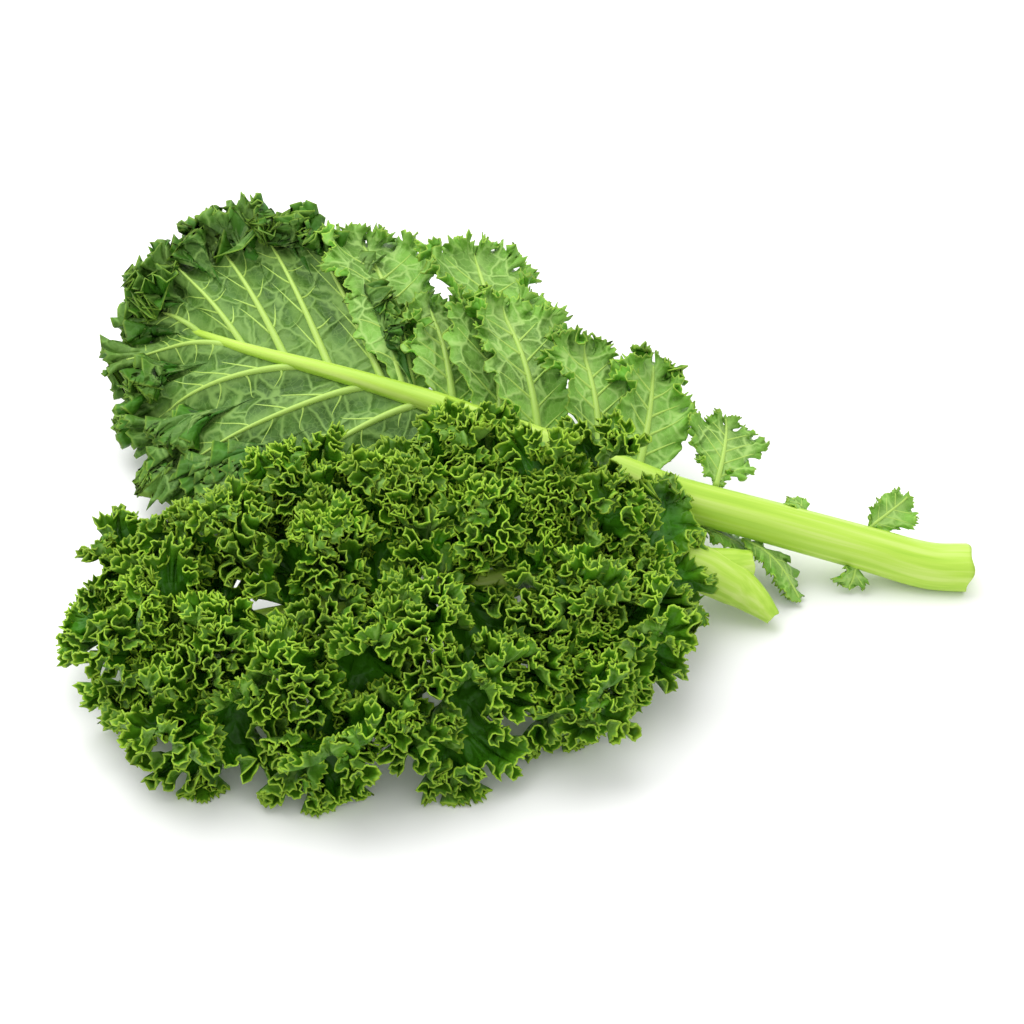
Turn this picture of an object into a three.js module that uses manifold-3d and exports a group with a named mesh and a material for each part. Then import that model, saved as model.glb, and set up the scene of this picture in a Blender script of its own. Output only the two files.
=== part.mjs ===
// A bunch of curly kale lying on a surface: a back leaf with its underside up, and a face-up front leaf
// that leans on it. Millimetres, +Z up, +X towards the stalk ends, -Y towards the viewer.
import * as THREE from "three";
import Module from "manifold-3d";

const wasm = await Module();
wasm.setup();

// Driving dimensions
const BLADE_THICKNESS = 1.1;
const CLEARANCE = 0.35; // between neighbouring pieces
const GROUND_Z = 0;
const MIDDLE = { x: 2.9, y: 1.7 }; // middle of the bunch's box in plan, in the layout's own coordinates
const STRIP_HALF_WIDTH = 6; // green wing along each side of a midrib
const RIB_HALF_WIDTH = 1.7; // side rib at its foot
const RIB_DEPTH = 2.4; // how far a side rib stands out of the underside at its foot
const WAVE_LENGTH = 21; // along a lobe's edge
const TIP_REACH = 1.12; // a lobe's outline over its rib's length
const WIDEST_AT = 0.66; // share of a rib's length where its lobe is widest
const RAY_ANGLE = THREE.MathUtils.degToRad(50); // at which the lamina leaves the rib
const FAN_ANGLE = 0.92 * Math.PI; // of the outline round to each side of a lobe's foot
const SHINGLE_ANGLE = THREE.MathUtils.degToRad(26); // by which each lobe lies over the next
const LOWEST_RIB_TIP = 20; // lobes that end lower lie on the surface, with no rib to see
const LAST_FOOT = 0.88; // share of a rib along which the lamina is rooted
const ROW_SHARES = [0.42, 0.74, 1]; // rows of points between a rib and the edge
const SUB_LOBE_DEPTH = 0.1; // share by which the edge swells into lesser lobes
const MERGED_EDGE = 0.01; // shortest edge left by a join

const BACK_GREEN = 0x6f9a4c;
const FRONT_GREEN = 0x4f8f2c;
const STALK_GREEN = 0xc3d77f;

// Stalk and midrib lines: centre points and the radius at each
const BACK_STALK = [
  [161, -12, 7.2, 8.6],
  [146, -11, 7.6, 8.4],
  [124, -8, 13, 7.9],
  [92, -4, 21, 7.6],
  [58, 1, 29, 7.2],
  [37, 10, 33, 6.4],
  [-19, 33, 42, 4.4],
  [-40, 42, 44, 3.7],
  [-66, 53, 45, 3],
  [-99, 70, 43, 2],
  [-124, 92, 36, 1.3],
];
const FRONT_STALK = [
  [90.5, -35, 4.6, 2.9],
  [84.5, -31, 8.8, 5.4],
  [77, -27.5, 13, 7.4],
  [65, -26, 19, 8.3],
  [51, -30, 25.5, 7.8],
  [30, -40, 31, 6],
  [-4, -52, 36, 4.8],
  [-37, -60, 37, 4],
  [-70, -64, 34, 3.2],
  [-104, -64, 26, 2.3],
  [-128, -62, 17, 1.4],
];

// The broken end of the front stalk: a short heel that forks off beside it
const FRONT_HEEL = [
  [68, -25, 18, 7.4],
  [76, -22, 15.8, 7],
  [82, -19.5, 14.4, 5.8],
];

// Which way each leaf's upper face looks: the back leaf lies underside up
const BACK_FACE = new THREE.Vector3(0, 0.2, -1).normalize();
const FRONT_FACE = new THREE.Vector3(0, -0.5, 0.86).normalize();

// The back leaf's blade round the end of its midrib, from the near side round the tip to the far side:
// x of each rib's foot on the midrib, the rib's tip, and its rise off the straight line
const BACK_FAN = [
  [28, 22, 4, 18, 2],
  [14, -22, -4, 4, 8],
  [-8, -66, 2, 0, 10],
  [-32, -107, 14, 0, 11],
  [-52, -131, 34, 2, 11],
  [-78, -142, 60, 7, 10],
  [-106, -147, 86, 17, 7],
  [-117, -144, 103, 34, 5],
  [-99, -133, 118, 47, 6],
  [-83, -117, 126, 56, 6],
  [-66, -99, 128, 62, 6],
  [-46, -80, 121, 64, 6],
  [-39, -61, 98, 60, 6],
  [-34, -46, 62, 53, 3],
];
// Depth of the notch in the outline past each of these ribs, as a share of the rib
const FAN_NOTCHES = [0, 0.42, 0.38, 0.3, 0.24, 0.2, 0.16, 0.16, 0.14, 0.14, 0.16, 0.1, 0];
const NOTCH_POWER = 0.7; // below 1 keeps the notches narrow and the lobes round
const FAN_TIP_RIB = 6.5; // where the blade turns round the midrib's tip, counted in ribs
const FAN_ROOT_GAP = 0.8; // between the blade's root and the middle of the midrib
const FAN_SAG = 3.2; // of the lamina between two ribs
const FAN_CURL = THREE.MathUtils.degToRad(-14); // of the outermost part of the blade
const FAN_CURL_REACH = 26;
const FAN_WAVE = { height: 6, reach: 36, power: 1.7 };
const FAN_ROWS = [
  { share: 0, perRib: 2 },
  { share: 0.34, perRib: 2 },
  { share: 0.62, perRib: 3 },
  { share: 0.82, perWave: 2 },
  { share: 1, perWave: 4 },
];
const FAN_RIB_SHARES = [0.03, 0.25, 0.48, 0.7];

// Side lobes: x of the foot on the midrib, then the rib's tip, its rise off the straight line, the lobe's
// half width and how far its edge curls over, in degrees
const BACK_LOBES = [
  [43, 51, 52, 46, 4, 14, -20],
  [31, 25, 57, 52, 5, 15, -20],
  [10, -4, 74, 56, 6, 18, -20],
  [-4, -14, 101, 60, 7, 22, -20],
  [-36, -56, 107, 62, 7, 21, -20],
];
const FRONT_LOBES = [
  [38, 54, -8, 34, 4, 11, 45],
  [22, 21, -5, 43, 5, 17, 70],
  [2, -4, -2, 48, 6, 19, 75],
  [-20, -30, -8, 49, 6, 19, 75],
  [-44, -59, -12, 47, 6, 19, 75],
  [-72, -89, -19, 40, 6, 19, 75],
  [-97, -123, -30, 27, 6, 17, 75],
  [36, 61, -45, 14, 4, 10, 40],
  [32, 35, -76, 9, 7, 17, 65],
  [10, 15, -90, 5, 9, 19, 75],
  [-18, -24, -110, 4, 10, 21, 75],
  [-50, -65, -113, 4, 11, 21, 75],
  [-82, -103, -108, 4, 9, 19, 75],
  [-104, -125, -83, 5, 8, 16, 75],
  [-118, -123, -54, 12, 5, 13, 75],
];
// Short lobes that stand up along the front leaf's midrib
const INNER_LOBE_FEET = [26, 4, -18, -40, -62, -84];
const INNER_LOBE = { length: 26, lean: 12, sweep: -7, rise: 3, halfWidth: 12, curl: 50 };

// Leaflets on the back leaf's stalk: foot, tip, rise, half width and curl
const LEAFLETS = [
  [72, 8, 28, 77, 33, 36, 2, 12, 15],
  [103, -1, 23, 99, 3, 26, 1, 4, 15],
  [126, -3, 18, 139, 7, 22, 1, 7, 15],
  [121, -13, 9, 119, -17, 3, 1, 5, 15],
  [81, -7, 16, 99, -22, 4, 4, 7, 40],
  [63, -5, 22, 83, -8, 12, 1, 6, 15],
];

// The sloping surface that keeps the leaves apart: the back leaf stays below it, the front leaf above
const PARTING = { height: 51, drop: 0.62, lineY: 26, lineSlope: 0.45, stalkFall: 0.2, margin: 1.6 };
const SOFTNESS = 2.5; // over which the parting surface and the ground turn a leaf aside

const partingHeight = (x, y) =>
  PARTING.height -
  PARTING.stalkFall * Math.max(0, x) -
  PARTING.drop * (PARTING.lineY - PARTING.lineSlope * x - y);

const softRamp = (x) =>
  x > 12 * SOFTNESS ? x : SOFTNESS * Math.log(1 + Math.exp(x / SOFTNESS));

// Keeps a point of a leaf's mid-surface on its own side of the parting surface and off the ground.
function settle(point, isBack) {
  const parting = partingHeight(point.x, point.y);
  if (isBack) point.z = parting - PARTING.margin - softRamp(parting - PARTING.margin - point.z);
  else point.z = parting + PARTING.margin + softRamp(point.z - parting - PARTING.margin);
  const floor = GROUND_Z + BLADE_THICKNESS / 2;
  point.z = floor + softRamp(point.z - floor);
  return point;
}

// Repeatable draw between 0 and 1
function draw(seed) {
  const value = Math.sin(seed * 12.9898) * 43758.5453;
  return value - Math.floor(value);
}

function lineOf(points) {
  const centre = new THREE.CatmullRomCurve3(
    points.map(([x, y, z]) => new THREE.Vector3(x, y, z)),
    false,
    "catmullrom",
    0.5,
  );
  const radiusAt = (t) => {
    const place = t * (points.length - 1);
    const i = Math.min(Math.floor(place), points.length - 2);
    return THREE.MathUtils.lerp(points[i][3], points[i + 1][3], place - i);
  };
  return { centre, radiusAt };
}

// Right-handed frame on a line: along it, across it, and square to it on the leaf's upper side
function frameOn(tangent, face) {
  const along = tangent.clone().normalize();
  const up = face.clone().addScaledVector(along, -face.dot(along)).normalize();
  const across = new THREE.Vector3().crossVectors(up, along);
  return { along, across, up };
}

// Where a leaf's green strip runs: on the upper side of the midrib, clear of it
function stripPoint(line, t, face) {
  const { up } = frameOn(line.centre.getTangent(t), face);
  const lift = line.radiusAt(t) + CLEARANCE + BLADE_THICKNESS / 2;
  return line.centre.getPoint(t).addScaledVector(up, lift);
}

function shareAtX(line, x) {
  let low = 0;
  let high = 1;
  for (let i = 0; i < 30; i++) {
    const middle = (low + high) / 2;
    if (line.centre.getPoint(middle).x > x) low = middle;
    else high = middle;
  }
  return low;
}

function solidFrom(vertices, triangles) {
  const positions = new Float32Array(vertices.flatMap((v) => [v.x, v.y, v.z]));
  let volume = 0;
  for (let i = 0; i < triangles.length; i += 3) {
    const [a, b, c] = [0, 1, 2].map((k) => vertices[triangles[i + k]]);
    volume += a.dot(new THREE.Vector3().crossVectors(b, c));
  }
  const facing = volume < 0 ? triangles.slice().reverse() : triangles;
  return new wasm.Manifold(
    new wasm.Mesh({ numProp: 3, vertProperties: positions, triVerts: new Uint32Array(facing) }),
  );
}

// Joins rings of equal length into a closed tube with fans at both ends.
function tubeSolid(rings) {
  const count = rings[0].length;
  const vertices = rings.flat();
  const triangles = [];
  for (let i = 0; i + 1 < rings.length; i++)
    for (let j = 0; j < count; j++) {
      const a = i * count + j;
      const b = i * count + ((j + 1) % count);
      triangles.push(a, b, b + count, a, b + count, a + count);
    }
  const last = (rings.length - 1) * count;
  for (let j = 1; j + 1 < count; j++) {
    triangles.push(0, j + 1, j);
    triangles.push(last, last + j, last + j + 1);
  }
  return solidFrom(vertices, triangles);
}

// Zips two rows of points that share one order along the edge; each row lists [place, vertex index].
function zip(rowA, rowB, triangles) {
  let i = 0;
  let j = 0;
  while (i + 1 < rowA.length || j + 1 < rowB.length) {
    const stepA =
      j + 1 >= rowB.length || (i + 1 < rowA.length && rowA[i + 1][0] < rowB[j + 1][0]);
    if (stepA) {
      triangles.push(rowA[i][1], rowB[j][1], rowA[i + 1][1]);
      i++;
    } else {
      triangles.push(rowA[i][1], rowB[j][1], rowB[j + 1][1]);
      j++;
    }
  }
}

// Gives an open sheet its thickness: both faces split alike, and a wall round its outline.
function sheetSolid(points, triangles, outline, thickness) {
  const normals = points.map(() => new THREE.Vector3());
  for (let i = 0; i < triangles.length; i += 3) {
    const [a, b, c] = [0, 1, 2].map((k) => points[triangles[i + k]]);
    const normal = b.clone().sub(a).cross(c.clone().sub(a));
    for (let k = 0; k < 3; k++) normals[triangles[i + k]].add(normal);
  }
  const upper = points.map((p, i) =>
    p.clone().addScaledVector(normals[i].normalize(), thickness / 2),
  );
  const lower = points.map((p, i) => p.clone().addScaledVector(normals[i], -thickness / 2));
  const count = points.length;
  const all = triangles.slice();
  for (let i = 0; i < triangles.length; i += 3)
    all.push(triangles[i] + count, triangles[i + 2] + count, triangles[i + 1] + count);
  for (let i = 0; i < outline.length; i++) {
    const a = outline[i];
    const b = outline[(i + 1) % outline.length];
    all.push(b, a, a + count, b, a + count, b + count);
  }
  return solidFrom([...upper, ...lower], all);
}

// One lobe: a rib and the lamina that fans out from it on both sides to a waved, notched edge.
function lobe(options) {
  const { foot, tip, rise, halfWidth, curl, seed, isBack, waveHeight = 5.4, hasRib = true } = options;
  const spine = tip.clone().sub(foot).normalize();
  const shingle = spine.y > 0 ? SHINGLE_ANGLE : -SHINGLE_ANGLE;
  const face = options.face.clone().applyAxisAngle(spine, shingle);
  const middle = foot.clone().add(tip).multiplyScalar(0.5);
  const lift = frameOn(tip.clone().sub(foot), face).up;
  const bend = isBack ? -2 * rise : 2 * rise;
  const rib = new THREE.QuadraticBezierCurve3(foot, middle.addScaledVector(lift, bend), tip);
  const length = rib.getLength();

  const outlineAt = (place) => {
    const angle = Math.abs(place) * FAN_ANGLE;
    const turn = Math.cos(angle);
    const reach = turn > 0 ? TIP_REACH - WIDEST_AT : WIDEST_AT;
    return {
      along: length * (WIDEST_AT + reach * turn),
      across: Math.sign(place) * halfWidth * Math.sin(angle) ** (turn > 0 ? 0.8 : 0.9),
    };
  };
  const footAt = (place) => {
    const { along, across } = outlineAt(place);
    const back = Math.abs(across) / Math.tan(RAY_ANGLE);
    return THREE.MathUtils.clamp(along - back, 0, LAST_FOOT * length);
  };

  // Places along the edge at equal steps of its length
  const fine = 240;
  const reach = [0];
  for (let i = 1; i <= fine; i++) {
    const a = outlineAt(-1 + (2 * (i - 1)) / fine);
    const b = outlineAt(-1 + (2 * i) / fine);
    reach.push(reach[i - 1] + Math.hypot(b.along - a.along, b.across - a.across));
  }
  const edgeLength = reach[fine];
  const waves = Math.max(2, Math.round(edgeLength / WAVE_LENGTH));
  const placeAt = (share) => {
    const target = share * edgeLength;
    const i = Math.min(Math.max(reach.findIndex((r) => r >= target), 1), fine);
    const within = (target - reach[i - 1]) / (reach[i] - reach[i - 1]);
    return -1 + (2 * (i - 1 + within)) / fine;
  };

  const surfacePoint = (share, rowShare) => {
    const place = placeAt(share);
    const { along, across } = outlineAt(place);
    const start = footAt(place);
    const frame = frameOn(rib.getTangent(Math.min(start / length, 1)), face);
    const swell = 1 + SUB_LOBE_DEPTH * Math.sin(2 * Math.PI * (waves * share * 0.5 + draw(seed)));
    const ray = Math.hypot(along - start, across) * rowShare * swell;
    const heading = Math.atan2(across, along - start);
    const outward = frame.along
      .clone()
      .multiplyScalar(Math.cos(heading))
      .addScaledVector(frame.across, Math.sin(heading));
    const point = rib.getPoint(Math.min(start / length, 1));
    const steps = 8;
    for (let i = 0; i < steps; i++) {
      const turn = curl * (((i + 0.5) / steps) * rowShare) ** 1.5;
      point.addScaledVector(outward, (Math.cos(turn) * ray) / steps);
      point.addScaledVector(frame.up, (Math.sin(turn) * ray) / steps);
    }
    const turn = curl * rowShare ** 1.5;
    const square = frame.up
      .clone()
      .multiplyScalar(Math.cos(turn))
      .addScaledVector(outward, -Math.sin(turn));
    const calm = 1 - 0.75 * THREE.MathUtils.smoothstep(Math.abs(place), 0.8, 1);
    const uneven = 0.75 + 0.5 * draw(seed + Math.floor(share * waves * 2 + 0.25) * 7.3);
    const wave = Math.cos(2 * Math.PI * waves * share) * calm * uneven;
    point.addScaledVector(square, waveHeight * rowShare ** 2.2 * wave);
    return settle(point, isBack);
  };

  const points = [];
  const rows = [];
  const ribStations = 5;
  const feet = [];
  for (let i = 0; i < ribStations; i++) {
    const along = (LAST_FOOT * length * i) / (ribStations - 1);
    let place = 1;
    while (place > 0 && footAt(place) < along - 1e-6) place -= 0.004;
    feet.push([i === ribStations - 1 ? 0 : Math.max(place, 0.01), points.length]);
    points.push(settle(rib.getPoint(along / length), isBack));
  }
  rows.push([
    ...feet.map(([place, index]) => [-place, index]),
    ...feet.slice(0, -1).reverse(),
  ]);
  const counts = [Math.max(4, Math.round(0.6 * waves)), 2 * waves, 4 * waves];
  ROW_SHARES.forEach((rowShare, k) => {
    const row = [];
    for (let j = 0; j <= counts[k]; j++) {
      const share = j / counts[k];
      row.push([placeAt(share), points.length]);
      points.push(surfacePoint(share, rowShare));
    }
    rows.push(row);
  });
  const triangles = [];
  for (let k = 0; k + 1 < rows.length; k++) zip(rows[k], rows[k + 1], triangles);
  const leftSide = rows.slice(0, -1).map((row) => row[0][1]);
  const rightSide = rows.slice(1, -1).map((row) => row[row.length - 1][1]);
  const outline = [...leftSide, ...rows[rows.length - 1].map(([, index]) => index)];
  outline.push(...rightSide.reverse());
  const lamina = sheetSolid(points, triangles, outline, BLADE_THICKNESS);

  const rings = feet.map(([, index], i) => {
    const taper = 1 - (0.75 * i) / (ribStations - 1);
    const size = Math.min(1, length / 60);
    const frame = frameOn(rib.getTangent((LAST_FOOT * i) / (ribStations - 1)), face);
    const at = (across, down) =>
      points[index]
        .clone()
        .addScaledVector(frame.across, across * taper * size)
        .addScaledVector(frame.up, -down * taper * size);
    return [at(-RIB_HALF_WIDTH, 0), at(RIB_HALF_WIDTH, 0), at(0, RIB_DEPTH)];
  });
  return hasRib ? lamina.add(tubeSolid(rings)) : lamina;
}

// The back leaf's blade round the end of its midrib: one waved and notched sheet, with a raised side rib
// on its underside in each of its lobes.
function fanBlade(line, face) {
  const last = BACK_FAN.length - 1;
  const curveOf = (points) => new THREE.CatmullRomCurve3(points, false, "catmullrom", 0.5);
  const tips = curveOf(BACK_FAN.map(([, x, y, z]) => new THREE.Vector3(x, y, z)));
  const feet = curveOf(
    BACK_FAN.map(([x, , , , rise]) => new THREE.Vector3(shareAtX(line, x), rise, 0)),
  );
  const rayAt = (place) => {
    const { x: share, y: rise } = feet.getPoint(place / last);
    const { across } = frameOn(line.centre.getTangent(share), face);
    const side = FAN_ROOT_GAP * Math.tanh(4 * (place - FAN_TIP_RIB));
    const foot = stripPoint(line, share, face).addScaledVector(across, side);
    const notch = FAN_NOTCHES[Math.min(Math.floor(place), FAN_NOTCHES.length - 1)];
    const kept = 1 - notch * (1 - Math.abs(Math.cos(Math.PI * place)) ** NOTCH_POWER);
    const tip = tips.getPoint(place / last);
    const middle = foot.clone().add(tip).multiplyScalar(0.5);
    middle.z += 2 * rise;
    const end = new THREE.QuadraticBezierCurve3(foot, middle, tip).getPoint(kept);
    return new THREE.QuadraticBezierCurve3(foot, foot.clone().lerp(middle, kept), end);
  };

  // Places along the edge at equal steps of its length
  const fine = 20 * last;
  const reach = [0];
  for (let i = 1; i <= fine; i++) {
    const step = rayAt((last * i) / fine).v2.distanceTo(rayAt((last * (i - 1)) / fine).v2);
    reach.push(reach[i - 1] + step);
  }
  const edgeLength = reach[fine];
  const waves = Math.round(edgeLength / WAVE_LENGTH);
  const placeAt = (share) => {
    const target = share * edgeLength;
    const i = Math.min(Math.max(reach.findIndex((r) => r >= target), 1), fine);
    const within = (target - reach[i - 1]) / (reach[i] - reach[i - 1]);
    return (last * (i - 1 + within)) / fine;
  };

  const frameAt = (place, share) => {
    const ray = rayAt(place);
    const near = 0.02;
    const before = rayAt(Math.max(place - near, 0)).getPoint(share);
    const after = rayAt(Math.min(place + near, last)).getPoint(share);
    const outward = ray.getTangent(share);
    const across = after.sub(before).addScaledVector(outward, -after.dot(outward)).normalize();
    const up = new THREE.Vector3().crossVectors(outward, across);
    return { ray, point: ray.getPoint(share), outward, across, up };
  };
  const surfacePoint = (place, share, wave) => {
    const { ray, point, outward, up } = frameAt(place, share);
    const length = ray.v0.distanceTo(ray.v2);
    const inFrom = (depth) =>
      Math.max(0, 1 - ((1 - share) * length) / Math.min(length, depth));
    point.addScaledVector(up, FAN_SAG * Math.abs(Math.sin(Math.PI * place)) * 4 * share * (1 - share));
    const curled = inFrom(FAN_CURL_REACH);
    const turn = FAN_CURL * curled ** 1.5;
    const bent = curled * Math.min(length, FAN_CURL_REACH);
    point.addScaledVector(outward, bent * (Math.cos(turn) - 1));
    point.addScaledVector(up, bent * Math.sin(turn));
    point.addScaledVector(up, FAN_WAVE.height * inFrom(FAN_WAVE.reach) ** FAN_WAVE.power * wave);
    return settle(point, true);
  };

  const points = [];
  const rows = FAN_ROWS.map(({ share, perRib, perWave }) => {
    const count = perRib ? perRib * last : perWave * waves;
    const row = [];
    for (let j = 0; j <= count; j++) {
      const place = perRib ? (last * j) / count : placeAt(j / count);
      const wave = perRib ? 0 : Math.cos((2 * Math.PI * waves * j) / count);
      row.push([place, points.length]);
      points.push(surfacePoint(place, share, wave));
    }
    return row;
  });
  const triangles = [];
  for (let k = 0; k + 1 < rows.length; k++) zip(rows[k], rows[k + 1], triangles);
  const edge = rows[rows.length - 1].map(([, index]) => index);
  const root = rows[0].map(([, index]) => index).reverse();
  const leftSide = rows.slice(1, -1).map((row) => row[0][1]);
  const rightSide = rows.slice(1, -1).map((row) => row[row.length - 1][1]);
  const outline = [...leftSide, ...edge, ...rightSide.reverse(), ...root];
  let body = sheetSolid(points, triangles, outline, BLADE_THICKNESS);

  for (let rib = 1; rib < last; rib++) {
    const rings = FAN_RIB_SHARES.map((share, i) => {
      const { across, up } = frameAt(rib, share);
      const centre = surfacePoint(rib, share, 0);
      const taper = 1 - (0.7 * i) / (FAN_RIB_SHARES.length - 1);
      const at = (side, down) =>
        centre
          .clone()
          .addScaledVector(across, side * taper)
          .addScaledVector(up, -down * taper);
      return [at(-RIB_HALF_WIDTH, 0), at(RIB_HALF_WIDTH, 0), at(0, RIB_DEPTH)];
    });
    body = body.add(tubeSolid(rings));
  }
  return body;
}

// The wing strip along a midrib, which carries the lobes.
function wingStrip(line, face, from, to, isBack) {
  const stations = 14;
  const rings = [];
  for (let i = 0; i <= stations; i++) {
    const t = THREE.MathUtils.lerp(from, to, i / stations);
    const frame = frameOn(line.centre.getTangent(t), face);
    const centre = settle(stripPoint(line, t, face), isBack);
    const half = STRIP_HALF_WIDTH * Math.min(1, 0.35 + (3 * i) / stations);
    rings.push(
      [[-1, -1], [1, -1], [1, 1], [-1, 1]].map(([side, layer]) =>
        centre
          .clone()
          .addScaledVector(frame.across, side * half)
          .addScaledVector(frame.up, (layer * BLADE_THICKNESS) / 2),
      ),
    );
  }
  return tubeSolid(rings);
}

// A stalk and its midrib: round sections along the line, flattened where it lies on the surface.
function stalkSolid(line, face, { extra = 0, stations = 22 } = {}) {
  const sides = 10;
  const rings = [];
  for (let i = 0; i <= stations; i++) {
    const t = i / stations;
    const tangent = line.centre.getTangent(t).normalize();
    const frame = frameOn(tangent, face);
    const radius = line.radiusAt(t) + extra;
    const end = i === 0 ? -extra : i === stations ? extra : 0;
    const centre = line.centre.getPoint(t).addScaledVector(tangent, end);
    const ring = [];
    for (let j = 0; j < sides; j++) {
      const angle = (2 * Math.PI * (j + 0.5)) / sides;
      const point = centre
        .clone()
        .addScaledVector(frame.across, radius * Math.cos(angle))
        .addScaledVector(frame.up, radius * Math.sin(angle));
      point.z = Math.max(point.z, GROUND_Z - extra);
      ring.push(point);
    }
    rings.push(ring);
  }
  return tubeSolid(rings);
}

// The largest body of a solid, which drops scraps that a cut leaves.
function mainBody(solid) {
  const bodies = solid.decompose();
  return bodies.reduce((best, body) => (body.volume() > best.volume() ? body : best));
}

function joined(solids) {
  return solids.reduce((whole, solid) => whole.add(solid));
}

function blade(line, face, lobes, stations, isBack, others = []) {
  const strip = wingStrip(line, face, ...stations.map((x) => shareAtX(line, x)), isBack);
  const leaf = joined([strip, ...others, ...lobes.map((one) => lobe({ ...one, face, isBack }))]);
  const clear = stalkSolid(line, face, { extra: CLEARANCE });
  return mainBody(leaf.subtract(clear).simplify(MERGED_EDGE));
}

function lobeRows(line, face, rows, firstSeed) {
  return rows.map(([x, tipX, tipY, tipZ, rise, halfWidth, curl], i) => ({
    foot: stripPoint(line, shareAtX(line, x), face),
    tip: new THREE.Vector3(tipX, tipY, tipZ),
    rise,
    halfWidth,
    curl: THREE.MathUtils.degToRad(curl),
    seed: firstSeed + i,
    hasRib: tipZ > LOWEST_RIB_TIP,
  }));
}

function innerLobes(line, face) {
  return INNER_LOBE_FEET.map((x, i) => {
    const t = shareAtX(line, x);
    const { up, across } = frameOn(line.centre.getTangent(t), face);
    const side = i % 2 ? 1 : -1;
    const foot = stripPoint(line, t, face);
    const tip = foot
      .clone()
      .addScaledVector(up, INNER_LOBE.length)
      .addScaledVector(across, side * INNER_LOBE.lean);
    tip.x += INNER_LOBE.sweep;
    return {
      foot,
      tip,
      rise: INNER_LOBE.rise,
      halfWidth: INNER_LOBE.halfWidth,
      curl: THREE.MathUtils.degToRad(INNER_LOBE.curl),
      seed: 60 + i,
      waveHeight: 5,
      hasRib: false,
    };
  });
}

function meshOf(name, solid, colour, roughness) {
  const { vertProperties, triVerts, numProp, numVert } = solid.getMesh();
  const positions = new Float32Array(numVert * 3);
  for (let i = 0; i < numVert; i++)
    positions.set(vertProperties.subarray(i * numProp, i * numProp + 3), i * 3);
  const geometry = new THREE.BufferGeometry();
  geometry.setAttribute("position", new THREE.BufferAttribute(positions, 3));
  geometry.setIndex(new THREE.BufferAttribute(triVerts, 1));
  const material = new THREE.MeshStandardMaterial({ color: colour, roughness, metalness: 0 });
  const mesh = new THREE.Mesh(geometry, material);
  mesh.name = name;
  return mesh;
}

const backLine = lineOf(BACK_STALK);
const frontLine = lineOf(FRONT_STALK);
const backStalk = stalkSolid(backLine, BACK_FACE);
const heel = stalkSolid(lineOf(FRONT_HEEL), FRONT_FACE, { stations: 5 });
const frontStalk = stalkSolid(frontLine, FRONT_FACE).add(heel);

// The origin is the middle of the bunch's box in plan, on the surface it lies on.
const group = new THREE.Group();
group.position.set(-MIDDLE.x, -MIDDLE.y, -GROUND_Z);
group.add(meshOf("back_leaf_stalk", backStalk, STALK_GREEN, 0.45));
group.add(
  meshOf(
    "back_leaf_blade",
    blade(
      backLine,
      BACK_FACE,
      lobeRows(backLine, BACK_FACE, BACK_LOBES, 1),
      [44, -122],
      true,
      [fanBlade(backLine, BACK_FACE)],
    ),
    BACK_GREEN,
    0.55,
  ),
);
LEAFLETS.forEach(([x, y, z, tipX, tipY, tipZ, rise, halfWidth, curl], i) => {
  const leaflet = lobe({
    foot: new THREE.Vector3(x, y, z),
    tip: new THREE.Vector3(tipX, tipY, tipZ),
    face: BACK_FACE,
    rise,
    halfWidth,
    curl: THREE.MathUtils.degToRad(curl),
    seed: 90 + i,
    isBack: true,
    waveHeight: halfWidth / 5,
  });
  const clear = stalkSolid(backLine, BACK_FACE, { extra: CLEARANCE });
  const body = mainBody(leaflet.subtract(clear)).simplify(MERGED_EDGE);
  group.add(meshOf("back_leaflet_" + (i + 1), body, BACK_GREEN, 0.55));
});
group.add(meshOf("front_leaf_stalk", frontStalk, STALK_GREEN, 0.45));
group.add(
  meshOf(
    "front_leaf_blade",
    blade(
      frontLine,
      FRONT_FACE,
      [...lobeRows(frontLine, FRONT_FACE, FRONT_LOBES, 30), ...innerLobes(frontLine, FRONT_FACE)],
      [50, -126],
      false,
    ),
    FRONT_GREEN,
    0.5,
  ),
);

export default group;
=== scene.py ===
"""Looks of a bunch of curly kale: an underside-up back leaf and a frilled, face-up front leaf."""

import math

import bpy
import numpy as np
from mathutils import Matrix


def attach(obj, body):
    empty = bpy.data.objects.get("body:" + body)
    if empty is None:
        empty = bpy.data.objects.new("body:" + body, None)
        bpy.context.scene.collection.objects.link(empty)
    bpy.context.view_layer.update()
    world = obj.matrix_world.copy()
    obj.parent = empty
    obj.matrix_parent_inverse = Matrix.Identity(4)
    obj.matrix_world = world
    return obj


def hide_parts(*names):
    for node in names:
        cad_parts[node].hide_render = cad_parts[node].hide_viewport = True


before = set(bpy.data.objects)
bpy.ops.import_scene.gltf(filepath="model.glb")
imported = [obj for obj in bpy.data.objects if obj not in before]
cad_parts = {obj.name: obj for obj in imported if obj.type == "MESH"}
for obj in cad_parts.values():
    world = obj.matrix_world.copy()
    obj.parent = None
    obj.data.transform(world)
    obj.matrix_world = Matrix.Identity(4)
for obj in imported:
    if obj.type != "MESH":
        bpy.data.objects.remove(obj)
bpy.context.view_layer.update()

# Layout: millimetres, in the coordinates that the leaves are laid out in. MIDDLE is the frame's origin.
MIDDLE = np.array([2.9, 1.7, 0.0])
MILLIMETRE = 0.001
BLADE_THICKNESS = 0.5
STRIP_THICKNESS = 1.1  # of the green strip along a midrib, in which the side ribs are rooted
CLEARANCE = 0.35  # between that strip and the midrib
TIP_REACH = 1.12  # a lobe's outline over its rib's length
WIDEST_AT = 0.66  # share of a rib's length where its lobe is widest
RAY_ANGLE = math.radians(50)  # at which the lamina leaves the rib
FAN_ANGLE = 0.92 * math.pi  # how far a lobe's outline runs round, on each side of its tip
SHINGLE_ANGLE = math.radians(26)  # by which lobes are turned to lie over each other
LAST_FOOT = 0.88  # share of a rib along which the lamina is rooted
SUB_LOBE_DEPTH = 0.1  # of the notches in a lobe's outline, as a share of the ray
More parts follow.
